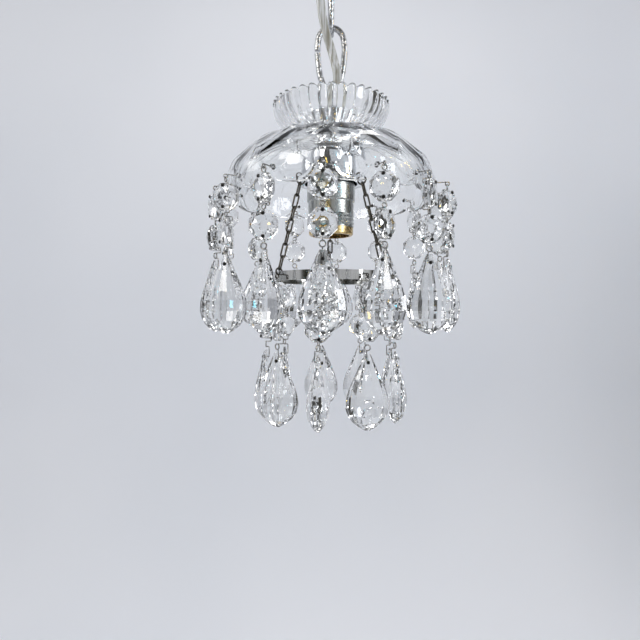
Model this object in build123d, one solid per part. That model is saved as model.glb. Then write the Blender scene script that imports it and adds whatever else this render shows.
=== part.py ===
from build123d import *
from math import cos, radians, sin, tan
import os

# A small electric crystal pendant lamp, hung from a ceiling canopy on two chain links.
# A fluted glass cup and a scalloped glass dome sit on a hollow stem, with a bell cap and
# a lampholder under them. One tier of crystal strands hangs from the dome, and another
# from a band ring that three light chains carry.
# Millimetres, +Z up. The origin is the middle of the canopy's ceiling face. An azimuth
# is 0 towards -Y and grows towards +X. Everything that repeats is built at azimuth 0.

# Running gap between loops that hang in each other, gap round the nipple, and the
# small step that keeps two touching faces of one body apart
HANG_GAP = 0.1
NIPPLE_GAP = 0.1
FACE_GAP = 0.02

# Ceiling canopy and its loop
CANOPY_R = 50.0
CANOPY_DEPTH = 24.0
CANOPY_WALL = 1.2
CANOPY_LIP = 2.5
CANOPY_SHOULDER_R = 39.0
CANOPY_SHOULDER_DEPTH = 15.0
CANOPY_FLAT_R = 17.0
CANOPY_SCREW_SPACING = 70.0
CANOPY_SCREW_R = 2.2
LOOP_WIRE_R = 2.0
LOOP_R = 9.0
LOOP_NUT_R = 7.0
LOOP_NUT_DEPTH = 5.5
LOCKNUT_R = 9.0
NIPPLE_R = 5.0
NIPPLE_BORE_R = 3.5
NIPPLE_TOP_Z = -12.0
CANOPY_NUT_DEPTH = 3.0

# Chain links: the middle of the wire down one side (half width, height over the middle)
LINK_LENGTH = 50.0
LINK_LINE = [(0.0, 22.7), (5.4, 20.9), (8.6, 16.2), (9.8, 9.5), (9.7, 2.0), (8.9, -6.0), (7.6, -13.5),
             (4.6, -20.4), (0.0, -22.7)]
LINK_LEG = 9.8
LINK_WIRE_R = 2.3
LINK_SLIT_TURN = 25
LINK_SLIT = 1.9
LINK_SLIT_RISE = 5.0

# Hanging stem: the bell under its loop lets the cord in
BELL_R = 16.5
BELL_WALL = 2.0
BELL_HEIGHT = 15.0
BELL_SHOULDER = 3.0
STEM_LENGTH_IN_SHELL = 2.5

# Glass cup, from its seat upwards (radius, height above the seat), outside and inside
CUP_SEAT_Z = -164.5
CUP_OUTSIDE = [(18.0, 0.0), (30.5, 3.0), (37.2, 8.5), (41.4, 15.5), (42.5, 24.0)]
CUP_INSIDE = [(39.5, 24.0), (38.4, 16.5), (34.6, 10.2), (28.0, 6.0), (19.0, 4.0)]

# Glass dome, from its top down (radius, depth under the cup's seat)
DOME_OUTSIDE = [(30.0, 0.0), (46.0, 2.4), (58.5, 9.0), (69.5, 19.2), (74.6, 27.7), (76.0, 37.5), (75.0, 47.5)]
DOME_INSIDE = [(71.2, 47.5), (72.1, 38.5), (70.9, 29.2), (66.0, 21.5), (55.5, 12.2), (44.0, 6.4), (28.0, 4.0)]
DOME_FLOOR = 4.0
NOTCH_R = 7.0
NOTCH_RISE = 3.7
HOOK_HOLE_Z = -201.5
HOOK_HOLE_R = 1.2

# Bell cap under the dome, from its top down (radius, depth under the dome's floor)
CAP_OUTSIDE = [(9.0, 0.0), (14.5, 1.8), (17.9, 5.5), (19.4, 11.0), (20.0, 18.5), (20.1, 28.5)]
CAP_WALL = 0.9
CAP_LIP_R = 24.2
CAP_LIP_Z = -197.5
CAP_HOLE_R = 1.7
CAP_HOLE_CIRCLE_R = 21.9

# Lampholder
SHELL_TOP_Z = -184.0
SHELL_WALL = 0.6
SHELL_OUTSIDE = [(12.0, 0.0), (16.4, 4.0), (16.4, 14.5), (17.4, 15.5), (17.4, 27.0), (16.5, 28.2), (16.5, 37.0)]
GROOVES = 3
GROOVE_PITCH = 2.8
GROOVE_DEPTH = 0.5
CORE_TOP_Z = -189.5
CORE_PLATE = 6.0
CORE_R = 15.5
CORE_WALL = 1.2
WIRE_BORE_R = 1.75
LAMP_BORE_R = 13.4
SCREW_WALL = 0.7
SCREW_TOP_Z = -199.0
RIM_TOP_Z = -230.6
RIM_BOTTOM_Z = -236.0
RIM_R = 16.1
RIM_ROUND = 1.0
CONTACT_R = 4.0
CONTACT_DEPTH = 2.5

# Lower band ring and the chains that carry it
RING_R = 42.0
RING_WALL = 1.2
RING_TOP_Z = -263.2
RING_DEPTH = 6.5
RING_HOOK_Z = -265.6
RING_HOOK_HOLE_R = 0.8
RING_HEAD_IN = 1.3
CHAINS = 3
CHAIN_AZIMUTH = 60.0
CHAIN_LINKS = 7
CHAIN_WIRE_R = 0.6
CHAIN_LINK_WIDTH = 4.4
CHAIN_TOP_RING_R = 3.0
CHAIN_RING_R = 2.2
CHAIN_HOLE_R = 1.3

# Crystals
BEAD_ACROSS = 17.5
BEAD_TABLE = (3.4, 4.5)
BEAD_CROWN = (6.6, 3.7)
BEAD_GIRDLE = 1.7
BEAD_HOLE_IN = 1.85
CRYSTAL_HOLE_R = 0.7
DROP_SIDES = 14
DROP_DEPTH_RATIO = 0.45
DROP_HOLE_DOWN = 5.4
DROP_RINGS = [(0.0, 1.9), (4.0, 3.9), (10.0, 6.4), (16.5, 9.5), (23.0, 12.3), (29.0, 14.2),
              (35.0, 14.7), (40.5, 13.1), (44.8, 9.7), (48.0, 5.6), (50.0, 1.9)]

# Pins and rings of the strands
PIN_WIRE_R = 0.36
RING_WIRE_R = 0.42
PIN_HEAD_R = 1.15
PIN_HEAD_DEPTH = 0.7
PIN_BEND_R = 0.8
EDGE_CLEARANCE = 1.0
JOIN_RING_R = 1.9
EYE_R = 1.3
BEAD_PIN_FRONT = 3.9
BEAD_PIN_BACK = 4.2
DROP_PIN_FRONT = 2.4
DROP_PIN_BACK = 2.6

# Strands: radius of the circle, heights of the two bead centres and of the drop's top
UPPER_STRANDS = 14
UPPER_FIRST_AZIMUTH = -4.5
UPPER_CIRCLE_R = 83.0
UPPER_HEIGHTS = (-217.0, -239.3, -255.0)
LOWER_STRANDS = 9
LOWER_FIRST_AZIMUTH = -11.0
LOWER_CIRCLE_R = 47.5
LOWER_HEIGHTS = (-280.0, -302.0, -318.8)

# Degrees that each crystal has turned on its wire, from facing outwards: bead, bead, drop
UPPER_TURNS = [(6, 4, 6), (-38, 30, -58), (24, -34, -40), (-30, 12, 28), (52, 44, 20), (-20, 36, -46),
               (30, -8, 42), (-44, 20, 8), (16, -40, 36), (40, 10, -28), (-26, 34, 50), (18, -22, -36),
               (34, -14, 44), (-20, 28, -12)]
LOWER_TURNS = [(-24, 16, 82), (36, -10, -22), (-16, 38, 34), (28, -32, -48), (-40, 14, 12),
               (20, 42, -30), (-34, -6, 46), (12, 30, -18), (38, -26, 40)]

# Flat twin lamp cord: its width, its thickness, and its route from the canopy into the bell
CORD_WIDTH = 6.0
CORD_THICK = 2.8
CORD_HOLE_CLEARANCE = 0.6
CORD_ROUTE = [(-8.5, -11.5, -18.0), (-9.2, -11.4, -42.0), (-8.4, -10.2, -66.0), (-5.0, -11.6, -90.0),
              (1.4, -11.8, -110.0), (4.8, -15.6, -127.0), (3.7, -11.4, -141.0), (3.5, -11.0, -152.0)]
ARC_SHARE = 0.45

# Heights that follow from the sizes above
LOOP_BOTTOM_Z = -47.8
UPPER_LINK_TOP_Z = LOOP_BOTTOM_Z + LOOP_WIRE_R + HANG_GAP + 2 * LINK_WIRE_R
LOWER_LINK_TOP_Z = UPPER_LINK_TOP_Z - LINK_LENGTH + 4 * LINK_WIRE_R + HANG_GAP
STEM_LOOP_TOP_Z = LOWER_LINK_TOP_Z - LINK_LENGTH + 2 * LINK_WIRE_R + HANG_GAP + 2 * LOOP_WIRE_R


def turned(shape, azimuth):
    """The shape carried round the lamp's axis from azimuth 0."""
    return Rot(0, 0, azimuth) * shape


def ring_of(shape, count, first=0.0):
    """Copies of a shape evenly round the lamp's axis."""
    return [turned(shape, first + 360 / count * i) for i in range(count)]


def solid_of_revolution(outline):
    """A turned piece, from its closed outline of (radius, z) points."""
    return revolve(Plane.XZ * make_face(Polyline(*outline, close=True)), Axis.Z)


def level_start(points):
    """A smooth wall through its (radius, z) points that leaves the first one level."""
    (r_1, z_1), (r_2, z_2) = points[-2:]
    return Spline(*points, tangents=[(1, 0), (r_2 - r_1, z_2 - z_1)])


def tube(outer, inner, top, bottom):
    return solid_of_revolution([(inner, top), (outer, top), (outer, bottom), (inner, bottom)])


def wire_ring(radius, wire_r, facing=0.0):
    """A round wire ring about the Y axis, turned about Z by facing."""
    return Rot(0, 0, facing) * Rot(90, 0, 0) * Torus(radius, wire_r)


def wire_along(path, wire_r):
    return sweep(Plane(origin=path @ 0, z_dir=path % 0) * Circle(wire_r), path=path)


def long_link(length, width, wire_r):
    """An upright oval link in the XZ plane: two half rings joined by two straight legs."""
    bend = width / 2 - wire_r
    leg = length - width
    section = Pos(bend, 0, 0) * Circle(wire_r)
    half = Pos(0, 0, leg / 2) * revolve(Plane.XY * section, Axis.Y, -180)
    legs = [Pos(side * bend, 0, 0) * Cylinder(wire_r, leg) for side in (-1, 1)]
    return half + legs[0] + legs[1] + Rot(0, 180, 0) * half


# ---- Suspension ----

def lamp_link():
    """An upright oval link about its middle, fuller in its upper half, in the XZ plane."""
    right = [(x, 0, z) for x, z in LINK_LINE]
    left = [(-x, 0, z) for x, z in reversed(LINK_LINE[1:-1])]
    return wire_along(Spline(*right, *left, periodic=True), LINK_WIRE_R)


def ceiling_canopy():
    """A shallow spun canopy, bored for the nipple, its two screws and the cord."""
    bore = NIPPLE_R + NIPPLE_GAP
    outside = [(CANOPY_R, 0), (CANOPY_R, -CANOPY_LIP), (CANOPY_SHOULDER_R, -CANOPY_SHOULDER_DEPTH),
               (CANOPY_FLAT_R, -CANOPY_DEPTH), (bore, -CANOPY_DEPTH)]
    inside = [(bore, -CANOPY_DEPTH + CANOPY_WALL), (CANOPY_FLAT_R, -CANOPY_DEPTH + CANOPY_WALL),
              (CANOPY_SHOULDER_R, -CANOPY_SHOULDER_DEPTH + CANOPY_WALL),
              (CANOPY_R - CANOPY_WALL, -CANOPY_LIP), (CANOPY_R - CANOPY_WALL, 0)]
    canopy = solid_of_revolution(outside + inside)
    for side in (-1, 1):
        screw = Pos(side * CANOPY_SCREW_SPACING / 2, 0, -CANOPY_DEPTH / 2)
        canopy -= screw * Cylinder(CANOPY_SCREW_R, CANOPY_DEPTH)
    x, y, _ = CORD_ROUTE[0]
    cord_hole = SlotOverall(CORD_WIDTH + 2 * CORD_HOLE_CLEARANCE, CORD_THICK + 2 * CORD_HOLE_CLEARANCE)
    canopy -= Pos(x, y, -CANOPY_DEPTH - CANOPY_WALL) * extrude(cord_hole, 3 * CANOPY_WALL)
    return canopy


def canopy_loop():
    """The loop, its nut under the canopy and the nipple and locknut inside."""
    loop = Pos(0, 0, LOOP_BOTTOM_Z + LOOP_R) * wire_ring(LOOP_R, LOOP_WIRE_R)
    nut = tube(LOOP_NUT_R, NIPPLE_BORE_R, -CANOPY_DEPTH - FACE_GAP, -CANOPY_DEPTH - LOOP_NUT_DEPTH)
    nipple = tube(NIPPLE_R, NIPPLE_BORE_R, NIPPLE_TOP_Z, -CANOPY_DEPTH - CANOPY_NUT_DEPTH)
    locknut_top = -CANOPY_DEPTH + CANOPY_WALL + CANOPY_NUT_DEPTH
    locknut = tube(LOCKNUT_R, NIPPLE_BORE_R, locknut_top, locknut_top - CANOPY_NUT_DEPTH + FACE_GAP)
    return loop + nut + nipple + locknut


def chain_link(top, facing, slit=False):
    """A lamp chain link under the height top, with its bending slit on one leg if it shows."""
    link = lamp_link()
    if slit:
        cutter = Box(4 * LINK_WIRE_R, 4 * LINK_WIRE_R, LINK_SLIT)
        link -= Pos(-LINK_LEG, 0, LINK_SLIT_RISE) * Rot(0, LINK_SLIT_TURN, 0) * cutter
    return Pos(0, 0, top - LINK_LENGTH / 2) * Rot(0, 0, facing) * link


def lamp_cord():
    """The flat twin cord, as straight runs joined by the largest tangent arcs they allow."""
    points = [Vector(*p) for p in CORD_ROUTE]
    radii = []
    for before, here, after in zip(points, points[1:], points[2:]):
        a, b = here - before, after - here
        half_turn = radians(a.get_angle(b)) / 2
        radii.append(ARC_SHARE * min(a.length, b.length) / tan(half_turn))
    path = FilletPolyline(*CORD_ROUTE, radius=radii)
    section = Plane(origin=path @ 0, x_dir=(1, 0, 0), z_dir=path % 0)
    flat = section * SlotOverall(CORD_WIDTH, CORD_THICK)
    cord = sweep(flat, path=path)
    print("cord arc radii:", [round(r, 1) for r in radii])
    print(f"cord volume {cord.volume:.1f}, section x length {flat.area * path.length:.1f}, length {path.length:.1f}")
    return cord


# ---- Pendant: stem, glass, cap and lampholder ----

def hanging_stem(loop_top):
    """The stem's loop on its hollow bell, and the hollow nipple that clamps the stack."""
    floor_z = CUP_SEAT_Z + CUP_INSIDE[-1][1]
    top_z = floor_z + BELL_HEIGHT
    loop = Pos(0, 0, loop_top - LOOP_WIRE_R - LOOP_R) * Rot(0, 0, 90) * wire_ring(LOOP_R, LOOP_WIRE_R)
    bell = solid_of_revolution([
        (0, top_z), (BELL_R - BELL_SHOULDER, top_z), (BELL_R, top_z - BELL_SHOULDER), (BELL_R, floor_z),
        (NIPPLE_BORE_R, floor_z), (NIPPLE_BORE_R, floor_z + BELL_WALL),
        (BELL_R - BELL_WALL, floor_z + BELL_WALL), (BELL_R - BELL_WALL, top_z - BELL_SHOULDER - BELL_WALL / 2),
        (BELL_R - BELL_SHOULDER - BELL_WALL / 2, top_z - BELL_WALL), (0, top_z - BELL_WALL)])
    x, y, _ = CORD_ROUTE[-1]
    entry = SlotOverall(CORD_WIDTH + 2 * CORD_HOLE_CLEARANCE, CORD_THICK + 2 * CORD_HOLE_CLEARANCE)
    bell -= Pos(x, y, top_z - 2 * BELL_SHOULDER) * extrude(entry, 3 * BELL_SHOULDER)
    nipple = tube(NIPPLE_R, NIPPLE_BORE_R, floor_z + BELL_WALL, SHELL_TOP_Z - STEM_LENGTH_IN_SHELL)
    return loop + bell + nipple


def glass_cup():
    bore = NIPPLE_R + NIPPLE_GAP
    outside = [(r, CUP_SEAT_Z + h) for r, h in CUP_OUTSIDE]
    inside = [(r, CUP_SEAT_Z + h) for r, h in CUP_INSIDE]
    lines = [level_start(outside), Line(outside[-1], inside[0]), Spline(*inside)]
    floor = [inside[-1], (bore, inside[-1][1]), (bore, outside[0][1]), outside[0]]
    return revolve(Plane.XZ * make_face(lines + [Polyline(*floor)]), Axis.Z)


def glass_dome():
    """The scalloped dome: a notch under each hook hole, and a bore for the nipple."""
    bore = NIPPLE_R + NIPPLE_GAP
    outside = [(r, CUP_SEAT_Z - d) for r, d in DOME_OUTSIDE]
    inside = [(r, CUP_SEAT_Z - d) for r, d in DOME_INSIDE]
    top = [inside[-1], (bore, CUP_SEAT_Z - DOME_FLOOR), (bore, CUP_SEAT_Z), outside[0]]
    lines = [level_start(outside), Line(outside[-1], inside[0]), Spline(*inside), Polyline(*top)]
    dome = revolve(Plane.XZ * make_face(lines), Axis.Z)
    rim_z = outside[-1][1]
    wall_r = (outside[-1][0] + inside[0][0]) / 2
    notch = Pos(0, -wall_r, rim_z - NOTCH_R + NOTCH_RISE) * Rot(90, 0, 0) * Cylinder(NOTCH_R, 16)
    hole = Pos(0, -wall_r, HOOK_HOLE_Z) * Rot(90, 0, 0) * Cylinder(HOOK_HOLE_R, 16)
    cutters = [c for shape in (notch, hole) for c in ring_of(shape, UPPER_STRANDS, UPPER_FIRST_AZIMUTH)]
    return dome - cutters


def holder_cap():
    """The bell cap: a flared skirt that ends in a flat lip with the chain holes."""
    top = CUP_SEAT_Z - DOME_FLOOR
    skirt = [(r, top - d) for r, d in CAP_OUTSIDE]
    outer = [(NIPPLE_R + NIPPLE_GAP, top)] + skirt + [(CAP_LIP_R, CAP_LIP_Z), (CAP_LIP_R, CAP_LIP_Z - CAP_WALL)]
    inner = [(skirt[-1][0] - CAP_WALL, CAP_LIP_Z - CAP_WALL)]
    inner += [(r - CAP_WALL, z - CAP_WALL / 3) for r, z in reversed(skirt[1:-1])]
    inner += [(skirt[0][0] - CAP_WALL, top - CAP_WALL), (NIPPLE_R + NIPPLE_GAP, top - CAP_WALL)]
    cap = solid_of_revolution(outer + inner)
    hole = Pos(0, -CAP_HOLE_CIRCLE_R, CAP_LIP_Z) * Cylinder(CAP_HOLE_R, 4 * CAP_WALL)
    return cap - ring_of(hole, CHAINS, CHAIN_AZIMUTH)


def socket_shell():
    """The plated lampholder shell with its rolled grooves."""
    outside = [(r, SHELL_TOP_Z - d) for r, d in SHELL_OUTSIDE]
    body_r, groove_z = outside[-1]
    for _ in range(GROOVES):
        outside += [(body_r + GROOVE_DEPTH / 2, groove_z - GROOVE_PITCH / 3),
                    (body_r - GROOVE_DEPTH, groove_z - 2 * GROOVE_PITCH / 3), (body_r, groove_z - GROOVE_PITCH)]
        groove_z -= GROOVE_PITCH
    outside.append((body_r - 0.2, RIM_TOP_Z + 0.1))
    inside_r = body_r - GROOVE_DEPTH - SHELL_WALL / 2
    inside = [(inside_r, RIM_TOP_Z + 0.1), (inside_r, SHELL_TOP_Z - 4.2),
              (SHELL_OUTSIDE[0][0], SHELL_TOP_Z - SHELL_WALL),
              (NIPPLE_R + NIPPLE_GAP, SHELL_TOP_Z - SHELL_WALL), (NIPPLE_R + NIPPLE_GAP, SHELL_TOP_Z)]
    return solid_of_revolution(outside + inside)


def socket_core():
    """The insulating body inside the shell, closed at the top but for the wire bore."""
    bottom = RIM_TOP_Z + 0.3
    return solid_of_revolution([
        (WIRE_BORE_R, CORE_TOP_Z), (CORE_R, CORE_TOP_Z), (CORE_R, bottom),
        (CORE_R - CORE_WALL, bottom), (CORE_R - CORE_WALL, CORE_TOP_Z - CORE_PLATE),
        (WIRE_BORE_R, CORE_TOP_Z - CORE_PLATE)])


def screw_shell():
    """The brass screw shell with its turned-out rim, and the centre contact above it."""
    outer = LAMP_BORE_R + SCREW_WALL
    shell = solid_of_revolution([
        (LAMP_BORE_R, SCREW_TOP_Z), (outer, SCREW_TOP_Z), (outer, RIM_TOP_Z), (RIM_R, RIM_TOP_Z),
        (RIM_R, RIM_BOTTOM_Z + RIM_ROUND), (RIM_R - RIM_ROUND, RIM_BOTTOM_Z), (LAMP_BORE_R, RIM_BOTTOM_Z)])
    contact_top = CORE_TOP_Z - CORE_PLATE
    contact = Pos(0, 0, contact_top - CONTACT_DEPTH / 2) * Cylinder(CONTACT_R, CONTACT_DEPTH)
    return Compound(children=[shell, contact])


# ---- Wire hooks, chains and the lower ring ----

def wire_hook(head_r, eye_circle_r, shank_z):
    """A headed hook: the shank runs outwards through its hole and ends in an upright eye."""
    length = eye_circle_r - head_r
    shank = Pos(0, -(head_r + length / 2), shank_z) * Rot(90, 0, 0) * Cylinder(PIN_WIRE_R, length)
    eye = Pos(0, -eye_circle_r, shank_z - EYE_R) * wire_ring(EYE_R, RING_WIRE_R, 90)
    head = Pos(0, -head_r, shank_z) * Rot(90, 0, 0) * Cylinder(PIN_HEAD_R, PIN_HEAD_DEPTH)
    return shank + eye + head


def hook_shank_z(hole_z, hole_r):
    """A hook's shank lies on the bottom of its hole."""
    return hole_z - hole_r + PIN_WIRE_R + 0.05


def strand_hinge_z(shank_z):
    """The middle of the wire of a strand's top ring, lying in the hook's eye."""
    return shank_z - 2 * EYE_R + 2 * RING_WIRE_R + HANG_GAP


def lower_ring():
    """The band with its hook and chain holes."""
    through = 5 * RING_WALL
    band = tube(RING_R + RING_WALL / 2, RING_R - RING_WALL / 2, RING_TOP_Z, RING_TOP_Z - RING_DEPTH)
    hook_hole = Pos(0, -RING_R, RING_HOOK_Z) * Rot(90, 0, 0) * Cylinder(RING_HOOK_HOLE_R, through)
    chain_hole = Pos(0, -RING_R, RING_TOP_Z - CHAIN_RING_R) * Rot(90, 0, 0) * Cylinder(CHAIN_HOLE_R, through)
    band -= ring_of(hook_hole, LOWER_STRANDS, LOWER_FIRST_AZIMUTH)
    return band - ring_of(chain_hole, CHAINS, CHAIN_AZIMUTH)


def ring_chain():
    """One chain at azimuth 0: a ring in the cap's lip, oval links, and a ring in the band."""
    top = Vector(0, -(CAP_HOLE_CIRCLE_R + CHAIN_TOP_RING_R), CAP_LIP_Z - CAP_WALL / 2)
    bottom = Vector(0, -RING_R, RING_TOP_Z)
    upper_ring = Pos(*top) * wire_ring(CHAIN_TOP_RING_R, CHAIN_WIRE_R, 90)
    lower_ring_ = Pos(*bottom) * wire_ring(CHAIN_RING_R, CHAIN_WIRE_R, 90)
    down = (bottom - top).normalized()
    start, end = top + down * CHAIN_TOP_RING_R, bottom - down * CHAIN_RING_R
    hook_in = 2 * CHAIN_WIRE_R + HANG_GAP
    pitch = ((end - start).length + (CHAIN_LINKS + 1) * hook_in) / CHAIN_LINKS
    link = long_link(pitch + 2 * CHAIN_WIRE_R, CHAIN_LINK_WIDTH, CHAIN_WIRE_R)
    links = []
    for i in range(CHAIN_LINKS):
        middle = start + down * (pitch * (i + 0.5) - hook_in * (i + 1))
        place = Plane(origin=middle, x_dir=(1, 0, 0), z_dir=down)
        links.append(place.location * Rot(0, 0, 90 * (i % 2)) * link)
    return [upper_ring, lower_ring_] + links


# ---- Crystals ----

def faceted(faces):
    """A solid from flat facets, each given by its corners."""
    return Solid(Shell([Face(Wire.make_polygon(corners)) for corners in faces]))


def octagon(radius, y, half_step):
    angles = [radians(45 * i + (0 if half_step else 22.5)) for i in range(8)]
    return [Vector(radius * sin(a), y, radius * cos(a)) for a in angles]


def triangles_between(ring_a, ring_b, shift):
    """The zigzag of triangles between a ring and one that is turned half a step."""
    count = len(ring_a)
    faces = []
    for i in range(count):
        a, a_next = ring_a[i], ring_a[(i + 1) % count]
        b, b_next = ring_b[(i + shift) % count], ring_b[(i + 1 + shift) % count]
        between = b_next if shift == 0 else b
        faces.append([a, a_next, between])
        faces.append([a, b, b_next] if shift == 0 else [a_next, b, b_next])
    return faces


def octagon_bead():
    """A flat octagon bead with a table, a crown of triangles, and a hole near two of its sides."""
    corner_r = BEAD_ACROSS / 2 / cos(radians(22.5))
    faces = []
    for side in (-1, 1):
        table = octagon(BEAD_TABLE[0], side * BEAD_TABLE[1], False)
        crown = octagon(BEAD_CROWN[0], side * BEAD_CROWN[1], True)
        girdle = octagon(corner_r, side * BEAD_GIRDLE, False)
        faces.append(table)
        faces += triangles_between(table, crown, 0)
        faces += triangles_between(girdle, crown, 0)
    front, back = octagon(corner_r, -BEAD_GIRDLE, False), octagon(corner_r, BEAD_GIRDLE, False)
    faces += [[front[i - 1], front[i], back[i], back[i - 1]] for i in range(8)]
    bead = faceted(faces)
    hole = Rot(90, 0, 0) * Cylinder(CRYSTAL_HOLE_R, BEAD_ACROSS)
    rise = BEAD_ACROSS / 2 - BEAD_HOLE_IN
    return bead - Pos(0, 0, rise) * hole - Pos(0, 0, -rise) * hole


def pear_drop():
    """A flattened pear drop, its top at the origin, cut in strips that cross the height in bands."""
    rings = []
    for down, half_width in DROP_RINGS:
        angles = [radians(360 / DROP_SIDES * i) for i in range(DROP_SIDES)]
        rings.append([Vector(half_width * cos(a), half_width * DROP_DEPTH_RATIO * sin(a), -down) for a in angles])
    faces = [rings[0], rings[-1]]
    for upper, lower in zip(rings, rings[1:]):
        faces += [[upper[i - 1], upper[i], lower[i], lower[i - 1]] for i in range(DROP_SIDES)]
    hole = Pos(0, 0, -DROP_HOLE_DOWN) * Rot(90, 0, 0) * Cylinder(CRYSTAL_HOLE_R, BEAD_ACROSS)
    return faceted(faces) - hole


def headed_pin(hole_z, run_z, front, back):
    """A pin from its head in front, back through the crystal, round its edge and in to a ring."""
    path = FilletPolyline((0, -front, hole_z), (0, back, hole_z), (0, back, run_z), (0, 0, run_z),
                          radius=PIN_BEND_R)
    head = Rot(90, 0, 0) * Cylinder(PIN_HEAD_R, PIN_HEAD_DEPTH)
    return wire_along(path, PIN_WIRE_R) + Pos(0, -front, hole_z) * head


def joined_by_ring(top_z, bottom_z, above, below):
    """A ring between two heights, with the pins of the crystals above and below it.

    above and below are (hole height, turn, front, back), or None where there is no crystal.
    """
    radius = min(JOIN_RING_R, (top_z - bottom_z) / 2)
    middle = (top_z + bottom_z) / 2 if above else top_z - radius
    turns = [crystal[1] for crystal in (above, below) if crystal]
    facing = sum(turns) / len(turns) if above else 0
    wires = Pos(0, 0, middle) * wire_ring(radius, RING_WIRE_R, facing)
    for crystal, run_z in ((above, middle + radius), (below, middle - radius)):
        if crystal:
            hole_z, turn, front, back = crystal
            wires += Rot(0, 0, turn) * headed_pin(hole_z, run_z, front, back)
    return wires


def strand(heights, hinge_z, turns, bead, drop):
    """A strand about the Z axis: its crystals, and the pins and rings that join them."""
    bead_1, bead_2, drop_top = heights
    half = BEAD_ACROSS / 2
    crystals = [Pos(0, 0, height) * Rot(0, 0, turn) * crystal
                for height, turn, crystal in zip(heights, turns, (bead, bead, drop))]

    def bead_pin(centre, turn, side):
        return centre + side * (half - BEAD_HOLE_IN), turn, BEAD_PIN_FRONT, BEAD_PIN_BACK

    drop_pin = (drop_top - DROP_HOLE_DOWN, turns[2], DROP_PIN_FRONT, DROP_PIN_BACK)
    wires = [
        joined_by_ring(hinge_z, bead_1 + half + EDGE_CLEARANCE, None, bead_pin(bead_1, turns[0], 1)),
        joined_by_ring(bead_1 - half - EDGE_CLEARANCE, bead_2 + half + EDGE_CLEARANCE,
                       bead_pin(bead_1, turns[0], -1), bead_pin(bead_2, turns[1], 1)),
        joined_by_ring(bead_2 - half - EDGE_CLEARANCE, drop_top + EDGE_CLEARANCE,
                       bead_pin(bead_2, turns[1], -1), drop_pin)]
    return Compound(children=crystals), Compound(children=wires)


def save(shape, name):
    export_step(shape, f"parts/{name}.step")


def save_tier(tier, count, first, circle_r, heights, hinge_z, all_turns, bead, drop):
    """One node of crystals and one of wire for each strand of a tier."""
    for i in range(count):
        crystals, wires = strand(heights, hinge_z, all_turns[i], bead, drop)
        azimuth = first + 360 / count * i
        for shape, kind in ((crystals, "crystals"), (wires, "pins")):
            save(turned(Pos(0, -circle_r, 0) * shape, azimuth), f"{tier}_strand_{i + 1:02d}_{kind}")


def main():
    os.makedirs("parts", exist_ok=True)
    upper_hook_z = hook_shank_z(HOOK_HOLE_Z, HOOK_HOLE_R)
    lower_hook_z = hook_shank_z(RING_HOOK_Z, RING_HOOK_HOLE_R)
    dome_hook = wire_hook(DOME_INSIDE[1][0] - PIN_HEAD_DEPTH, UPPER_CIRCLE_R, upper_hook_z)
    ring_hook = wire_hook(RING_R - RING_HEAD_IN, LOWER_CIRCLE_R, lower_hook_z)
    ring_wires = [turned(link, CHAIN_AZIMUTH + 360 / CHAINS * i) for i in range(CHAINS) for link in ring_chain()]
    ring_wires += ring_of(ring_hook, LOWER_STRANDS, LOWER_FIRST_AZIMUTH)

    save(Compound(children=[ceiling_canopy(), canopy_loop()]), "ceiling_canopy")
    save(chain_link(UPPER_LINK_TOP_Z, 90), "upper_link")
    save(chain_link(LOWER_LINK_TOP_Z, 0, slit=True), "lower_link")
    save(lamp_cord(), "lamp_cord")
    save(hanging_stem(STEM_LOOP_TOP_Z), "hanging_stem")
    save(glass_cup(), "glass_cup")
    save(glass_dome(), "glass_dome")
    save(Compound(children=ring_of(dome_hook, UPPER_STRANDS, UPPER_FIRST_AZIMUTH)), "dome_hooks")
    save(holder_cap(), "holder_cap")
    save(socket_shell(), "socket_shell")
    save(socket_core(), "socket_core")
    save(screw_shell(), "screw_shell")
    save(lower_ring(), "lower_ring")
    save(Compound(children=ring_wires), "ring_chains_and_hooks")

    bead, drop = octagon_bead(), pear_drop()
    print("hinge heights:", strand_hinge_z(upper_hook_z), strand_hinge_z(lower_hook_z))
    save_tier("upper", UPPER_STRANDS, UPPER_FIRST_AZIMUTH, UPPER_CIRCLE_R, UPPER_HEIGHTS,
              strand_hinge_z(upper_hook_z), UPPER_TURNS, bead, drop)
    save_tier("lower", LOWER_STRANDS, LOWER_FIRST_AZIMUTH, LOWER_CIRCLE_R, LOWER_HEIGHTS,
              strand_hinge_z(lower_hook_z), LOWER_TURNS, bead, drop)


main()
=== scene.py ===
from math import cos, pi, radians, sin, sqrt

import bmesh
import bpy
from mathutils import Matrix, Vector, noise


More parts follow.
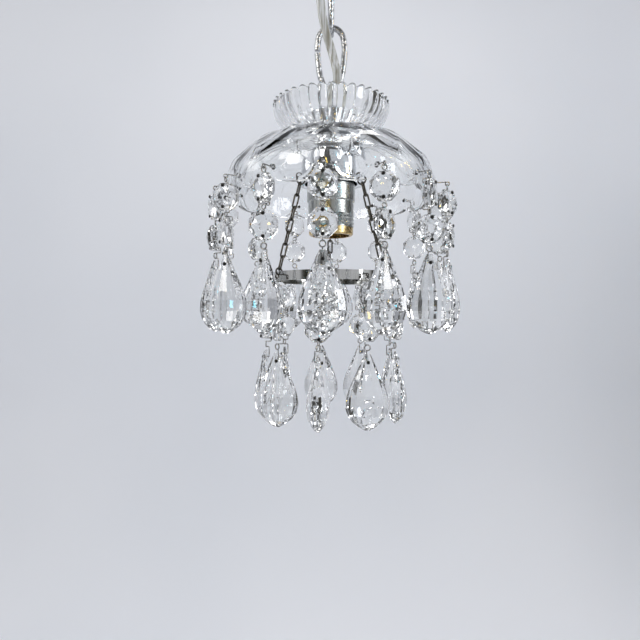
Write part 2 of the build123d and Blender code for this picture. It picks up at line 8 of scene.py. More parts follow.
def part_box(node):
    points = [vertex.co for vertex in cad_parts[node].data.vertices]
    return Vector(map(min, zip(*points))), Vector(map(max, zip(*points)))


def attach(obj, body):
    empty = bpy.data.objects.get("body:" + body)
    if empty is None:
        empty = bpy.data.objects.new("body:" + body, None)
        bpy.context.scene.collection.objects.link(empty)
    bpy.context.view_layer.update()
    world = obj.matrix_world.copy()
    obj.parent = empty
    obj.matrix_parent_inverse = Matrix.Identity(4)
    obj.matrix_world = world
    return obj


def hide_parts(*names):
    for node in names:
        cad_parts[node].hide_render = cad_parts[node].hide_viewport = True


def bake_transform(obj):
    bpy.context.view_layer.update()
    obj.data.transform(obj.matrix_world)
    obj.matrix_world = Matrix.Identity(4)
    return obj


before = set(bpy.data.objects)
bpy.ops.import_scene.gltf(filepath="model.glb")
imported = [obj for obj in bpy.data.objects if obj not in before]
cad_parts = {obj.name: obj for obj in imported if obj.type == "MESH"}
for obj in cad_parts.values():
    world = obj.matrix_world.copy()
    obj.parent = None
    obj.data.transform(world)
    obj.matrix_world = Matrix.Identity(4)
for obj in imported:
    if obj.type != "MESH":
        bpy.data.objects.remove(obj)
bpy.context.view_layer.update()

# A small electric crystal pendant lamp. The frame holds its metal, chains and crystals, and
# this script gives them their materials and makes the cut glass, the links, the pin heads
# and the cord. Everything is in metres, in the frame's own axes.
MM = 0.001

# Strands of the upper tier and their first azimuth in degrees. An azimuth is 0 towards -Y
# and grows towards +X.
UPPER_STRANDS, UPPER_FIRST = 14, -4.5

# ---------------------------------------------------------------- places from the frame

SEAT_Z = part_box("glass_cup")[0].z
HOOK_HOLE_Z = -201.5 * MM
HOOK_HOLE_R = 1.2 * MM
HOOK_HOLE_CIRCLE_R = 0.072
HOOK_HOLE_DEPTH = 0.014


# ---------------------------------------------------------------- mesh helpers

def link_object(name, mesh, material, smooth=True):
    """Puts a mesh in the scene as a piece with one material."""
    piece = bpy.data.objects.new(name, mesh)
    bpy.context.scene.collection.objects.link(piece)
    mesh.materials.append(material)
    if smooth:
        mesh.shade_smooth()
    else:
        mesh.shade_flat()
    return piece


def mesh_of(name, verts, faces):
    """A mesh from its points and faces."""
    mesh = bpy.data.meshes.new(name)
    mesh.from_pydata([tuple(v) for v in verts], [], faces)
    mesh.update()
    return mesh


def outward(mesh):
    """Makes a closed mesh's faces point outwards."""
    bm = bmesh.new()
    bm.from_mesh(mesh)
    bmesh.ops.recalc_face_normals(bm, faces=bm.faces)
    bm.to_mesh(mesh)
    bm.free()


def grid_faces(rows, columns, close_rows, close_columns):
    """The quads of a grid of points, row by row, closed on itself where asked."""
    faces = []
    for i in range(rows if close_rows else rows - 1):
        for j in range(columns if close_columns else columns - 1):
            here, below = i * columns, ((i + 1) % rows) * columns
            after = (j + 1) % columns
            faces.append((here + j, here + after, below + after, below + j))
    return faces


def smooth_line(points, per_span):
    """A Catmull-Rom line through points, with per_span steps between each two."""
    ends = [2 * points[0] - points[1]] + list(points) + [2 * points[-1] - points[-2]]
    line = []
    for i in range(1, len(ends) - 2):
        p, q, r, s = ends[i - 1:i + 3]
        for k in range(per_span):
            t = k / per_span
            line.append(0.5 * (2 * q + (r - p) * t + (2 * p - 5 * q + 4 * r - s) * t * t
                               + (3 * q - p - 3 * r + s) * t ** 3))
    return line + [points[-1]]


def profile(points, per_span):
    """A smooth profile of (radius, z) from points in millimetres, z from the cup's seat."""
    line = smooth_line([Vector((r, z)) for r, z in points], per_span)
    return [Vector((p.x * MM, SEAT_Z + p.y * MM)) for p in line]


def frames_along(points, closed):
    """A tangent and two sideways directions at each point, carried along without twist."""
    count = len(points)
    tangents = []
    for i in range(count):
        before = points[i - 1] if (i or closed) else points[i]
        after = points[(i + 1) % count] if (i < count - 1 or closed) else points[i]
        tangents.append((after - before).normalized())
    side = tangents[0].orthogonal().normalized()
    frames = []
    for tangent in tangents:
        side = (side - tangent * side.dot(tangent)).normalized()
        frames.append((tangent, side, tangent.cross(side)))
    return frames


def end_caps(rows, columns):
    """The two faces that close the ends of a grid of points."""
    return [tuple(range(columns)), tuple(range((rows - 1) * columns, rows * columns))]


TUBE_SIDES = 20


def tube(name, points, section, closed=False):
    """A tube mesh along points. section(point, angle) gives its radius there."""
    verts = []
    for i, (point, (_, side, up)) in enumerate(zip(points, frames_along(points, closed))):
        for j in range(TUBE_SIDES):
            angle = 2 * pi * j / TUBE_SIDES
            verts.append(point + (side * cos(angle) + up * sin(angle)) * section(point, angle))
    faces = grid_faces(len(points), TUBE_SIDES, closed, True)
    if not closed:
        faces += end_caps(len(points), TUBE_SIDES)
    mesh = mesh_of(name, verts, faces)
    outward(mesh)
    return mesh


# ---------------------------------------------------------------- materials

def new_material(name, **values):
    """A Principled material with the given socket values, its node tree and its shader."""
    material = bpy.data.materials.new(name)
    material.use_nodes = True
    shader = material.node_tree.nodes["Principled BSDF"]
    for socket, value in values.items():
        shader.inputs[socket.replace("_", " ")].default_value = value
    return material, material.node_tree, shader


def noise_node(tree, scale, detail=3.0, stretch=(1, 1, 1)):
    """Noise over object space. scale is in cells per metre."""
    coordinates = tree.nodes.new("ShaderNodeTexCoord")
    mapping = tree.nodes.new("ShaderNodeMapping")
    texture = tree.nodes.new("ShaderNodeTexNoise")
    mapping.inputs["Scale"].default_value = stretch
    texture.inputs["Scale"].default_value = scale
    texture.inputs["Detail"].default_value = detail
    tree.links.new(coordinates.outputs["Object"], mapping.inputs["Vector"])
    tree.links.new(mapping.outputs["Vector"], texture.inputs["Vector"])
    return texture


def add_bump(tree, shader, source, strength, depth):
    """Feeds source through a bump into the shader's normal. depth is in metres."""
    bump = tree.nodes.new("ShaderNodeBump")
    bump.inputs["Strength"].default_value = strength
    bump.inputs["Distance"].default_value = depth
    tree.links.new(source, bump.inputs["Height"])
    tree.links.new(bump.outputs["Normal"], shader.inputs["Normal"])


def add_ramp(tree, source, target, stops):
    """Feeds source through a colour ramp into target. stops are (position, grey or rgb)."""
    ramp = tree.nodes.new("ShaderNodeValToRGB")
    elements = ramp.color_ramp.elements
    while len(elements) < len(stops):
        elements.new(0.5)
    for element, (position, value) in zip(elements, stops):
        element.position = position
        element.color = (*value, 1) if isinstance(value, tuple) else (value, value, value, 1)
    tree.links.new(source, ramp.inputs["Fac"])
    tree.links.new(ramp.outputs["Color"], target)


def glass(name, ior, tint, roughness, wave_scale, wave_depth):
    """Clear glass with the faint waviness of its making."""
    material, tree, shader = new_material(
        name, Base_Color=(*tint, 1), Roughness=roughness, IOR=ior, Transmission_Weight=1.0)
    waves = noise_node(tree, wave_scale, 2.0)
    add_bump(tree, shader, waves.outputs["Fac"], 1.0, wave_depth)
    return material


def metal(name, dark, light, roughness, grain_scale, bump, stretch=(1, 1, 1)):
    """A metal whose colour and gloss vary between two values over a grain."""
    material, tree, shader = new_material(name, Metallic=1.0)
    grain = noise_node(tree, grain_scale, 5.0, stretch)
    add_ramp(tree, grain.outputs["Fac"], shader.inputs["Base Color"],
             [(0.3, dark), (0.7, light)])
    add_ramp(tree, grain.outputs["Fac"], shader.inputs["Roughness"],
             [(0.25, roughness[0]), (0.75, roughness[1])])
    add_bump(tree, shader, grain.outputs["Fac"], 0.6, bump)
    return material


def plastic(name, dark, light, roughness, scale, transmission=0.0, stretch=(1, 1, 1)):
    """A plastic whose colour varies between two values over a fine speckle."""
    material, tree, shader = new_material(
        name, Roughness=roughness, IOR=1.5, Transmission_Weight=transmission)
    speckle = noise_node(tree, scale, 3.0, stretch)
    add_ramp(tree, speckle.outputs["Fac"], shader.inputs["Base Color"],
             [(0.35, dark), (0.65, light)])
    add_bump(tree, shader, speckle.outputs["Fac"], 0.3, 0.00003)
    return material


CRYSTAL = glass("crystal", 1.6, (0.955, 0.96, 0.958), 0.0, 120, 0.000004)
DOME_GLASS = glass("pressed_glass", 1.5, (0.985, 0.992, 0.992), 0.0, 90, 0.00003)
CUP_GLASS = glass("fluted_glass", 1.5, (0.985, 0.992, 0.992), 0.0, 90, 0.00002)
CHROME = metal("chrome", (0.72, 0.73, 0.75), (0.9, 0.91, 0.93), (0.04, 0.12), 300, 0.00001)
NICKEL = metal("satin_nickel", (0.33, 0.34, 0.33), (0.52, 0.53, 0.52), (0.2, 0.34),
               500, 0.00002, (1, 1, 0.2))
RING_NICKEL = metal("polished_nickel", (0.5, 0.5, 0.48), (0.66, 0.66, 0.64), (0.06, 0.16),
                    400, 0.00001, (1, 1, 0.15))
# Its colour is dark where the grain dents the wire and bright where the grain rises: painted
# shade in the hammer dents and painted highlight between them.
SILVER = metal("hammered_silver", (0.34, 0.34, 0.33), (0.86, 0.87, 0.9), (0.14, 0.3),
               520, 0.0011)
WIRE = metal("silver_wire", (0.2, 0.19, 0.175), (0.5, 0.49, 0.47), (0.14, 0.3), 900, 0.00002)
DARK_WIRE = metal("dark_wire", (0.025, 0.022, 0.018), (0.1, 0.09, 0.075), (0.25, 0.45),
                  900, 0.00003)
BLACK_HEAD = metal("pin_head", (0.012, 0.012, 0.012), (0.05, 0.048, 0.045), (0.25, 0.4),
                   900, 0.00002)
BRASS = metal("brass", (0.5, 0.34, 0.14), (0.78, 0.6, 0.3), (0.16, 0.34), 500, 0.00002)
INSULATOR = plastic("insulator", (0.02, 0.018, 0.016), (0.05, 0.046, 0.04), 0.45, 700)
CORD_SKIN = plastic("cord_pvc", (0.4, 0.38, 0.32), (0.92, 0.93, 0.95), 0.1,
                    800, 0.2, (1, 1, 0.03))

NODE_MATERIALS = {
    "ceiling_canopy": CHROME, "hanging_stem": CHROME, "dome_hooks": WIRE, "holder_cap": CHROME,
    "socket_shell": NICKEL, "socket_core": INSULATOR, "screw_shell": BRASS,
    "lower_ring": RING_NICKEL, "ring_chains_and_hooks": DARK_WIRE}


def finish_cad_nodes():
    """Gives each CAD node that shows its material. Cut crystals keep their flat facets."""
    for name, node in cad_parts.items():
        crystal = name.endswith("crystals")
        material = NODE_MATERIALS.get(name) or (CRYSTAL if crystal else WIRE)
        node.data.materials.clear()
        node.data.materials.append(material)
        if crystal:
            node.data.shade_flat()
            node.visible_shadow = False


# ---------------------------------------------------------------- glass dome and cup

# Profiles are (radius, height above the cup's seat) in millimetres.
DOME_OUTSIDE = [(5.2, 0), (17, 0), (30, 0), (46, -2.6), (58.3, -9.1), (69.3, -19.3),
                (74.4, -27.8), (75.9, -37.5), (74.9, -47.5)]
DOME_INSIDE = [(71.3, -47.5), (72.1, -38.5), (70.9, -29.2), (66, -21.5), (55.5, -12.2),
               (44, -6.4), (28, -4), (16, -4), (5.2, -4)]
DOME_STEPS_OUT, DOME_STEPS_IN = 17, 6
DOME_COLUMNS_PER_STRAND = 56
DOME_CREASE = 9
SCALLOP_FROM = -33.5
SCALLOP_RISE = 4.2
SCALLOP_WIDTH = 0.97

# Leaf cuts: offset from a strand in strand steps, start and end as shares of the way from
# the dome's middle to its rim, and the deepest cut as a share of the radius.
LEAVES = ((0.5, 0.26, 0.66, 0.030), (0.0, 0.48, 0.90, 0.026), (0.5, 0.76, 0.985, 0.010))
LEAF_POWER = 0.6
LEAF_LINE_DEPTH = 0.55 * MM
LEAF_LINE_REACH = 0.22 * MM
ROSETTE_FROM, ROSETTE_REACH, ROSETTE_END = 0.06, 0.28, 0.34
ROSETTE_DEPTH = 1.1 * MM
# Cuts go straight down on the dome's flat top, and mostly inwards past its shoulder.
SHOULDER_FROM, SHOULDER_REACH, SHOULDER_TURN = 0.2, 0.35, 0.6


def leaf(share, start, end):
    """0 outside start..end, and a smooth hump of height 1 between them."""
    if not start < share < end:
        return 0.0
    return sin(pi * (share - start) / (end - start)) ** LEAF_POWER


def cut_depth(radius, azimuth, share):
    """How deep the wheel's cuts go at a point of the dome, share from its middle to its rim."""
    step = 2 * pi / UPPER_STRANDS
    first = radians(UPPER_FIRST)
    depth = 0.0
    for offset, start, end, flat in LEAVES:
        off_centre = (azimuth - first) / step - offset
        off_centre = (off_centre - round(off_centre)) * step
        level = flat * leaf(share, start, end)
        cut = radius * (level - off_centre ** 2 / 2)
        if start < share < end:
            line = LEAF_LINE_DEPTH * max(0, 1 - abs(cut) / LEAF_LINE_REACH)
            depth = max(depth, max(cut, 0) + line)
    rosette = (azimuth - first) / (step / 2)
    ridge = abs(rosette - round(rosette)) * 2
    if share < ROSETTE_END:
        along = sin(pi * max(share - ROSETTE_FROM, 0) / ROSETTE_REACH) ** 0.5
        depth = max(depth, ROSETTE_DEPTH * (1 - ridge) * along)
    return max(depth, 0.0)


def scalloped(z, azimuth):
    """A height of the dome after its rim has been shaped into scallops between the hooks."""
    start = SEAT_Z + SCALLOP_FROM * MM
    rim = SEAT_Z + DOME_OUTSIDE[-1][1] * MM
    if z >= start:
        return z
    turns = (azimuth - radians(UPPER_FIRST)) / (2 * pi / UPPER_STRANDS) - 0.5
    across = 2 * (turns - round(turns))
    rise = SCALLOP_RISE * MM * (1 - sqrt(max(0.0, 1 - (SCALLOP_WIDTH * across) ** 2)))
    return start + (z - start) * (1 - rise / (start - rim))


def lathe_glass(name, outside, inside, columns, shape):
    """A closed glass wall: shape(point, azimuth, share, is_outside) moves each profile point."""
    rows = []
    for line, is_outside in ((outside, True), (inside, False)):
        last = len(line) - 1
        for i, point in enumerate(line):
            share = i / last if is_outside else 1 - i / last
            rows.append((point, share, is_outside))
    verts = []
    for point, share, is_outside in rows:
        for j in range(columns):
            azimuth = 2 * pi * j / columns
            radius, z = shape(point, azimuth, share, is_outside)
            verts.append((radius * sin(azimuth), -radius * cos(azimuth), z))
    mesh = mesh_of(name, verts, grid_faces(len(rows), columns, True, True))
    outward(mesh)
    return mesh


def dome_shape(point, azimuth, share, is_outside):
    """The scalloped dome, with the cuts taken out of its outside."""
    radius, z = point.x, scalloped(point.y, azimuth)
    if is_outside:
        slope = min(max((share - SHOULDER_FROM) / SHOULDER_REACH, 0), 1)
        depth = cut_depth(radius, azimuth, share)
        radius -= depth * slope
        z -= depth * (1 - SHOULDER_TURN * slope)
    return radius, z


CUP_OUTSIDE = [(5.2, 0), (12, 0), (18, 0), (30.3, 3.2), (37, 8.6), (41.3, 15.5), (42.4, 23.9)]
CUP_INSIDE = [(39.8, 23.9), (38.4, 16.5), (34.6, 10.2), (28, 6.2), (19, 4), (12, 4), (5.2, 4)]
CUP_STEPS_OUT, CUP_STEPS_IN = 7, 6
FLUTES = 38
COLUMNS_PER_FLUTE = 14
FLUTE_DEPTH_OUT, FLUTE_DEPTH_IN = 1.9, 0.5
FLUTE_FROM, FLUTE_REACH = 0.28, 0.3
RIM_LOBE = 1.5 * MM
RIM_LOBE_FROM, RIM_LOBE_REACH = 0.82, 0.18


def cup_shape(point, azimuth, share, is_outside):
    """Round ribs, sharp grooves outside and faint ones inside, and a rim waving with them."""
    radius, z = point.x, point.y
    rib = abs(cos(FLUTES * azimuth / 2))
    start = min(max((share - FLUTE_FROM) / FLUTE_REACH, 0), 1)
    depth = (FLUTE_DEPTH_OUT if is_outside else FLUTE_DEPTH_IN) * MM * start
    radius -= depth * (1 - rib)
    rim = max((share - RIM_LOBE_FROM) / RIM_LOBE_REACH, 0)
    z -= RIM_LOBE * rim * (1 - rib)
    return radius, z


def drill(piece, cutter_mesh):
    """Takes the cutter out of a piece, and leaves it as plain mesh."""
    cutter = bpy.data.objects.new("cutter", cutter_mesh)
    bpy.context.scene.collection.objects.link(cutter)
    modifier = piece.modifiers.new("holes", "BOOLEAN")
    modifier.object = cutter
    modifier.solver = "EXACT"
    evaluated = piece.evaluated_get(bpy.context.evaluated_depsgraph_get())
    drilled = bpy.data.meshes.new_from_object(evaluated)
    piece.modifiers.remove(modifier)
    piece.data = drilled
    bpy.data.objects.remove(cutter)


def hook_hole_cutter():
    """One round rod through the dome's wall at each upper strand."""
    bm = bmesh.new()
    for i in range(UPPER_STRANDS):
        azimuth = radians(UPPER_FIRST + 360 / UPPER_STRANDS * i)
        place = (Matrix.Rotation(azimuth, 4, "Z")
                 @ Matrix.Translation((0, -HOOK_HOLE_CIRCLE_R, HOOK_HOLE_Z))
                 @ Matrix.Rotation(pi / 2, 4, "X"))
        bmesh.ops.create_cone(bm, cap_ends=True, segments=24, radius1=HOOK_HOLE_R,
                              radius2=HOOK_HOLE_R, depth=HOOK_HOLE_DEPTH, matrix=place)
    mesh = bpy.data.meshes.new("hook_holes")
    bm.to_mesh(mesh)
    bm.free()
    return mesh


def crease(mesh, angle):
    """Keeps the edges that turn by more than angle degrees crisp under smooth shading."""
    mesh.shade_smooth()
    mesh.set_sharp_from_angle(angle=radians(angle))


def make_dome():
    """The cut dome with its hook holes, in place of the CAD's plain one."""
    mesh = lathe_glass("dome_cut_glass", profile(DOME_OUTSIDE, DOME_STEPS_OUT),
                       profile(DOME_INSIDE, DOME_STEPS_IN),
                       UPPER_STRANDS * DOME_COLUMNS_PER_STRAND, dome_shape)
    dome = link_object("dome_cut_glass", mesh, DOME_GLASS)
    drill(dome, hook_hole_cutter())
    crease(dome.data, DOME_CREASE)
    dome.visible_shadow = False
    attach(dome, "pendant")
    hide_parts("glass_dome")


def make_cup():
    """The fluted cup, in place of the CAD's plain one."""
    mesh = lathe_glass("cup_fluted_glass", profile(CUP_OUTSIDE, CUP_STEPS_OUT),
                       profile(CUP_INSIDE, CUP_STEPS_IN), FLUTES * COLUMNS_PER_FLUTE, cup_shape)
    cup = link_object("cup_fluted_glass", mesh, CUP_GLASS)
    cup.visible_shadow = False
    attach(cup, "pendant")
    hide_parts("glass_cup")


# ---------------------------------------------------------------- hammered chain links

LINK_WIRE_R = 2.3 * MM
# The right half of the wire's middle line, and the leg's half width and rise at the slit,
# in millimetres.
LINK_LINE = [(0.0, 22.7), (5.4, 20.9), (8.6, 16.2), (9.8, 9.5), (9.7, 2.0), (8.9, -6.0),
             (7.6, -13.5), (4.6, -20.4), (0.0, -22.7)]
LINK_LEG = 9.82
SLIT_RISE = 5.0
SLIT_HALF = 0.95 * MM
LINK_STEPS = 16
# The dents come from coarse and fine noise over a place that also turns with the angle.
DENT_COARSE, DENT_COARSE_SHARE = 330, 0.6
DENT_FINE, DENT_FINE_SHARE = 800, 0.35
DENT_TURN, DENT_TWIST = 0.002, 0.001
DENT_BASE, DENT_DEPTH, DENT_RISE = 0.97, 0.3, 0.03


def link_path(low, high, across, slit):
    """The middle of an oval link's wire, from the slit's place down, round and back to it."""
    centre = (low + high) / 2
    right = [(x, z) for x, z in LINK_LINE if z < SLIT_RISE]
    above = [(x, z) for x, z in LINK_LINE if z > SLIT_RISE]
    half = SLIT_HALF / MM if slit else 0
    outline = [(-LINK_LEG, SLIT_RISE - half)] + [(-x, z) for x, z in right]
    outline += [(x, z) for x, z in reversed(right[:-1])] + [(LINK_LEG, SLIT_RISE)]
    outline += [(x, z) for x, z in reversed(above)] + [(-x, z) for x, z in above[1:]]
    outline.append((-LINK_LEG, SLIT_RISE + half))
    points = [centre + across * x * MM + Vector((0, 0, z * MM)) for x, z in outline]
    line = smooth_line(points, LINK_STEPS)
    return line if slit else line[:-1]


def hammered(point, angle):
    """The wire's radius with the dents of a hammer in it."""
    place = Vector((point.x + DENT_TURN * cos(angle), point.y + DENT_TURN * sin(angle),
                    point.z + DENT_TWIST * angle))
    dents = (noise.noise(place * DENT_COARSE) * DENT_COARSE_SHARE
             + noise.noise(place * DENT_FINE) * DENT_FINE_SHARE)
    return LINK_WIRE_R * (DENT_BASE - DENT_DEPTH * max(dents, 0) + DENT_RISE * min(dents, 0))


def make_link(node, slit):
    """A hammered link in the plane where the CAD's own lies, in its place."""
    low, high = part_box(node)
    across = Vector((1, 0, 0)) if high.x - low.x > high.y - low.y else Vector((0, 1, 0))
    fine = link_path(low, high, across, slit)
    mesh = tube(node + "_hammered", fine, hammered, closed=not slit)
    link = link_object(node + "_hammered", mesh, SILVER)
    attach(link, node)
    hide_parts(node)


# ---------------------------------------------------------------- lamp cord

# Control points of the cord's middle line, in millimetres.
CORD_ROUTE = [(-8.5, -11.5, -18.0), (-9.2, -11.4, -42.0), (-8.4, -10.2, -66.0),
              (-5.0, -11.6, -90.0), (1.4, -11.8, -110.0), (4.8, -15.6, -127.0),
              (3.7, -11.4, -141.0), (3.5, -11.0, -152.0)]
CORD_WIDTH = 6.0 * MM
CORD_THICK = 2.8 * MM
# A span ends half way down each link, and runs across the joint between its two bodies.
CORD_SPANS = (("upper", -66.0, "ceiling", "upper_link", -47.8),
              ("middle", -107.0, "upper_link", "lower_link", -88.8),
              ("lower", -160.0, "lower_link", "pendant", -129.5))


def route_points():
    """Points down the smooth line that the cord's route controls."""
    curve = bpy.data.curves.new("cord_route", "CURVE")
    curve.dimensions = "3D"
    curve.resolution_u = 24
    spline = curve.splines.new("NURBS")
    spline.points.add(len(CORD_ROUTE) - 1)
    for point, place in zip(spline.points, CORD_ROUTE):
        point.co = (*(c * MM for c in place), 1)
    spline.order_u = 3
    spline.use_endpoint_u = True
    holder = bpy.data.objects.new("cord_route", curve)
    mesh = bpy.data.meshes.new_from_object(holder)
    points = [v.co.copy() for v in mesh.vertices]
    bpy.data.objects.remove(holder)
    bpy.data.curves.remove(curve)
    bpy.data.meshes.remove(mesh)
    return points


def cord_section():
    """The outline of a flat twin cord: two round lobes with a web between them."""
    lobe = CORD_THICK / 2
    shift = CORD_WIDTH / 2 - lobe
    outline = []
    for middle, start in ((shift, -120), (-shift, 60)):
        for k in range(13):
            angle = radians(start + 20 * k)
            outline.append((middle + lobe * cos(angle), lobe * sin(angle)))
    return outline


def make_cord():
    """The cord in three spans down its route, each one crossing a joint."""
    points = route_points()
    outline = cord_section()
    start = 0
    for name, stop_z, upper_body, lower_body, joint_z in CORD_SPANS:
        stop = max(i for i, p in enumerate(points) if p.z >= stop_z * MM)
        line = points[start:stop + 1]
        start = stop
        verts = []
        for i, p in enumerate(line):
            tangent = (line[min(i + 1, len(line) - 1)] - line[max(i - 1, 0)]).normalized()
            wide = Vector((1, 0, 0)) - tangent * tangent.x
            wide.normalize()
            flat = tangent.cross(wide)
            verts += [p + wide * x + flat * y for x, y in outline]
        sides = len(outline)
        faces = grid_faces(len(line), sides, False, True) + end_caps(len(line), sides)
        mesh = mesh_of(f"cord_{name}_span", verts, faces)
        outward(mesh)
        span = link_object(f"cord_{name}_span", mesh, CORD_SKIN)
        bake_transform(span)
        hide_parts("lamp_cord")


# ---------------------------------------------------------------- pin heads

HEAD_R = 1.15 * MM
HEAD_OVERLAP = 1.06
HEAD_SINK = 0.25
HEAD_FLATTEN = 0.62
AREA_TOLERANCE = 0.06
SAME_PLANE = 0.9999
HOOK_BODIES = {"dome_hooks": "pendant", "ring_chains_and_hooks": "lower_tier"}


def flat_discs(mesh, area):
    """The middle and normal of each flat patch of about that area, such as a pin head's face."""
    bm = bmesh.new()
    bm.from_mesh(mesh)
    bmesh.ops.remove_doubles(bm, verts=bm.verts, dist=1e-6)
    bm.faces.ensure_lookup_table()
    seen, discs = set(), []
    for face in bm.faces:
        if face.index in seen:
            continue
        patch, waiting = [], [face]
        seen.add(face.index)
        while waiting:
            f = waiting.pop()
            patch.append(f)
            for edge in f.edges:
                for other in edge.link_faces:
                    if other.index not in seen and other.normal.dot(face.normal) > SAME_PLANE:
                        seen.add(other.index)
                        waiting.append(other)
        total = sum(f.calc_area() for f in patch)
        if abs(total - area) < AREA_TOLERANCE * area:
            weighted = sum((f.calc_center_median() * f.calc_area() for f in patch), Vector())
            discs.append((weighted / total, face.normal.copy()))
    bm.free()
    return discs


def head_mesh(name, discs):
    """A domed head over each disc."""
    bm = bmesh.new()
    for middle, normal in discs:
        turn = normal.to_track_quat("Z", "Y").to_matrix().to_4x4()
        place = (Matrix.Translation(middle - normal * HEAD_SINK * MM) @ turn
                 @ Matrix.Diagonal((1, 1, HEAD_FLATTEN, 1)))
        bmesh.ops.create_uvsphere(bm, u_segments=16, v_segments=10,
                                  radius=HEAD_R * HEAD_OVERLAP, matrix=place)
    mesh = bpy.data.meshes.new(name)
    bm.to_mesh(mesh)
    bm.free()
    return mesh


def make_heads():
    """A domed black head over each pin's and hook's flat one."""
    area = pi * HEAD_R ** 2
    for name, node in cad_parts.items():
        if not name.endswith(("_pins", "_hooks")):
            continue
        discs = flat_discs(node.data, area)
        piece_name = name.replace("_pins", "") + "_heads"
        heads = link_object(piece_name, head_mesh(piece_name, discs), BLACK_HEAD)
        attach(heads, HOOK_BODIES.get(name) or name.replace("_pins", ""))


# ---------------------------------------------------------------- stage, lights, camera

STAGE_HALF = 9.0
STAGE_FRONT = -9.0
FLOOR_Z = -0.95
WALL_Y = 1.0
WALL_TOP = 2.2
BEND_R = 0.5
STAGE_GLOW = 0.15


def make_stage():
    """A pale floor that curves up into a backdrop."""
    material, tree, shader = new_material("backdrop", Roughness=0.9)
    soft = noise_node(tree, 1.3, 2.0)
    add_ramp(tree, soft.outputs["Fac"], shader.inputs["Base Color"],
             [(0.3, (0.66, 0.68, 0.73)), (0.7, (0.74, 0.75, 0.79))])
    shader.inputs["Emission Color"].default_value = (0.68, 0.7, 0.75, 1)
    shader.inputs["Emission Strength"].default_value = STAGE_GLOW
    line = [Vector((0, STAGE_FRONT, FLOOR_Z)), Vector((0, WALL_Y - BEND_R, FLOOR_Z))]
    line += [Vector((0, WALL_Y - BEND_R + BEND_R * sin(a), FLOOR_Z + BEND_R - BEND_R * cos(a)))
             for a in (radians(9 * k) for k in range(1, 11))]
    line.append(Vector((0, WALL_Y, WALL_TOP)))
    verts = [p + Vector((side * STAGE_HALF, 0, 0)) for p in line for side in (-1, 1)]
    mesh = mesh_of("backdrop", verts, grid_faces(len(line), 2, False, False))
    backdrop = link_object("backdrop", mesh, material)


# Dark cards: the two ends in plan, and the bottom and top
CARDS = (("card_front", (-1.25, -1.3), (0.05, -1.3), -0.94, 0.35),
         ("card_side", (1.15, 0.0), (1.15, 0.85), -0.94, 0.1))


def make_cards():
    """Dark cards in front and on one side, that the crystals and metal mirror."""
    material, tree, shader = new_material("dark_card", Roughness=0.9)
    weave = noise_node(tree, 3.0, 2.0)
    add_ramp(tree, weave.outputs["Fac"], shader.inputs["Base Color"],
             [(0.3, (0.02, 0.018, 0.012)), (0.7, (0.045, 0.04, 0.028))])
    for name, start, end, low, high in CARDS:
        verts = [(*start, low), (*end, low), (*end, high), (*start, high)]
        card = link_object(name, mesh_of(name, verts, [(0, 1, 2, 3)]), material)


def area_light(name, place, target, size, power, colour):
    """A rectangular light at place that faces target."""
    data = bpy.data.lights.new(name, "AREA")
    data.shape = "RECTANGLE"
    data.size, data.size_y = size
    data.energy = power
    data.color = colour
    light = bpy.data.objects.new(name, data)
    light.location = place
    light.rotation_euler = (Vector(target) - Vector(place)).to_track_quat("-Z", "Y").to_euler()
    bpy.context.scene.collection.objects.link(light)


# Directions of the room's dark sides, with the angles where each is fully dark and gone
DARK_SIDES = (((0.92, 0.39, 0.0), 29, 36), ((-0.41, -0.91, 0.05), 31, 38))
DARK_ROOM = (0.03, 0.027, 0.018)
# The room's colour by the height of a direction, 0 at the horizon and 1 straight up
ROOM_STOPS = [(0.0, (0.56, 0.57, 0.6)), (0.5, (0.56, 0.57, 0.6)), (0.57, (0.02, 0.018, 0.014)),
              (0.86, (0.03, 0.028, 0.022)), (0.93, (1.0, 1.0, 1.0))]


def dark_side(tree, direction, toward, inner, outer):
    """1 outside a cone of directions round toward, and 0 inside it."""
    dot = tree.nodes.new("ShaderNodeVectorMath")
    dot.operation = "DOT_PRODUCT"
    tree.links.new(direction, dot.inputs[0])
    dot.inputs[1].default_value = toward
    edge = tree.nodes.new("ShaderNodeMapRange")
    edge.inputs["From Min"].default_value = cos(radians(outer))
    edge.inputs["From Max"].default_value = cos(radians(inner))
    edge.inputs["To Min"].default_value = 1.0
    edge.inputs["To Max"].default_value = 0.0
    tree.links.new(dot.outputs["Value"], edge.inputs["Value"])
    return edge.outputs["Result"]


def make_room():
    """A room pale round the horizon and overhead, and dark in front, on one side and up high."""
    world = bpy.data.worlds.new("room")
    bpy.context.scene.world = world
    world.use_nodes = True
    tree = world.node_tree
    coordinates = tree.nodes.new("ShaderNodeTexCoord")
    direction = coordinates.outputs["Generated"]
    separate = tree.nodes.new("ShaderNodeSeparateXYZ")
    tree.links.new(direction, separate.inputs["Vector"])
    sides = [dark_side(tree, direction, *side) for side in DARK_SIDES]
    both = tree.nodes.new("ShaderNodeMath")
    both.operation = "MULTIPLY"
    tree.links.new(sides[0], both.inputs[0])
    tree.links.new(sides[1], both.inputs[1])
    mix = tree.nodes.new("ShaderNodeMix")
    mix.data_type = "RGBA"
    mix.inputs["A"].default_value = (*DARK_ROOM, 1)
    tree.links.new(both.outputs["Value"], mix.inputs["Factor"])
    add_ramp(tree, separate.outputs["Z"], mix.inputs["B"], ROOM_STOPS)
    tree.links.new(mix.outputs["Result"], tree.nodes["Background"].inputs["Color"])
    tree.nodes["Background"].inputs["Strength"].default_value = 1.0


LAMP_MIDDLE = (0, 0, -0.25)
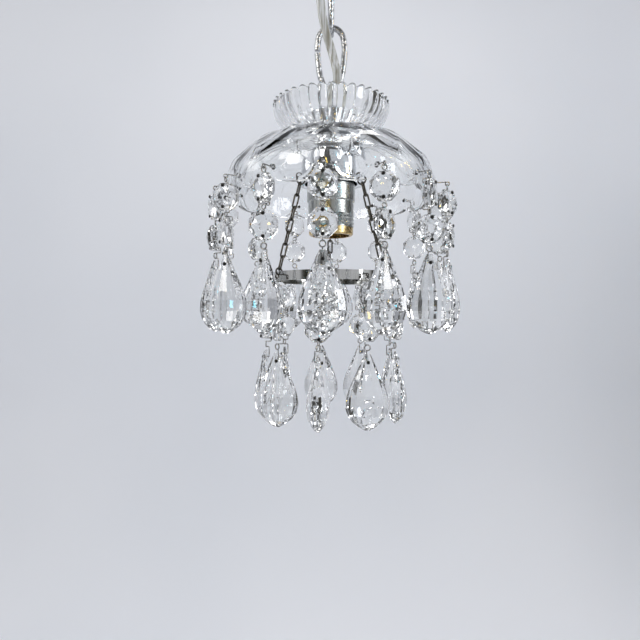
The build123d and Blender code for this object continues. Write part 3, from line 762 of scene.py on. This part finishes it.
# Lights: name, place, target, size, watts and colour
LIGHTS = (("key", (-0.9, -0.9, 0.5), LAMP_MIDDLE, (0.45, 0.6), 7, (1, 0.98, 0.95)),
          ("fill", (1.0, -0.6, -0.1), LAMP_MIDDLE, (0.2, 0.7), 4, (0.95, 0.97, 1)),
          ("top", (0.1, 0.3, 0.9), LAMP_MIDDLE, (0.6, 0.4), 5, (1, 1, 1)),
          ("wall_left", (-1.4, 0.0, 0.6), (-0.2, 1.0, -0.3), (0.8, 0.8), 3.4, (1, 0.99, 0.97)),
          ("wall_right", (1.4, 0.0, 0.6), (0.3, 1.0, -0.4), (0.8, 0.8), 3.4, (0.95, 0.97, 1)))
# Small coloured lights that give the crystals their fire: place and colour
GLINTS = (((0.95, -0.15, 0.15), (1.0, 0.62, 0.1)), ((0.75, -0.75, 0.2), (0.15, 0.75, 1.0)),
          ((-0.35, -1.1, -0.05), (1.0, 0.7, 0.15)), ((-0.75, -0.85, -0.45), (0.25, 0.8, 1.0)))
GLINT_SIZE = (0.05, 0.05)
GLINT_POWER = 0.3


def make_lights():
    """The studio's soft lights and the glints."""
    for light in LIGHTS:
        area_light(*light)
    for i, (place, colour) in enumerate(GLINTS):
        area_light(f"glint_{i + 1}", place, LAMP_MIDDLE, GLINT_SIZE, GLINT_POWER, colour)


CAMERA_LENS = 30.9
CAMERA_SENSOR = 36
CAMERA_SHIFT_Y = -0.0156
CAMERA_PLACE = (-0.008, -0.401, -0.290)


def make_camera():
    """A camera level with the strands, a little left of the lamp, as near as the view shows."""
    data = bpy.data.cameras.new("camera")
    data.lens = CAMERA_LENS
    data.sensor_width = CAMERA_SENSOR
    data.shift_y = CAMERA_SHIFT_Y
    data.clip_start = 0.01
    camera = bpy.data.objects.new("camera", data)
    camera.location = CAMERA_PLACE
    camera.rotation_euler = (pi / 2, 0, 0)
    bpy.context.scene.collection.objects.link(camera)
    bpy.context.scene.camera = camera


make_camera()
make_cord()
finish_cad_nodes()
make_dome()
make_cup()
make_link("upper_link", slit=False)
make_link("lower_link", slit=True)
make_heads()
make_stage()
make_cards()
make_room()
make_lights()
scene = bpy.context.scene
scene.view_settings.view_transform = "Standard"
scene.cycles.transparent_max_bounces = 16
scene.cycles.transmission_bounces = 16
scene.cycles.max_bounces = 18
scene.cycles.glossy_bounces = 8
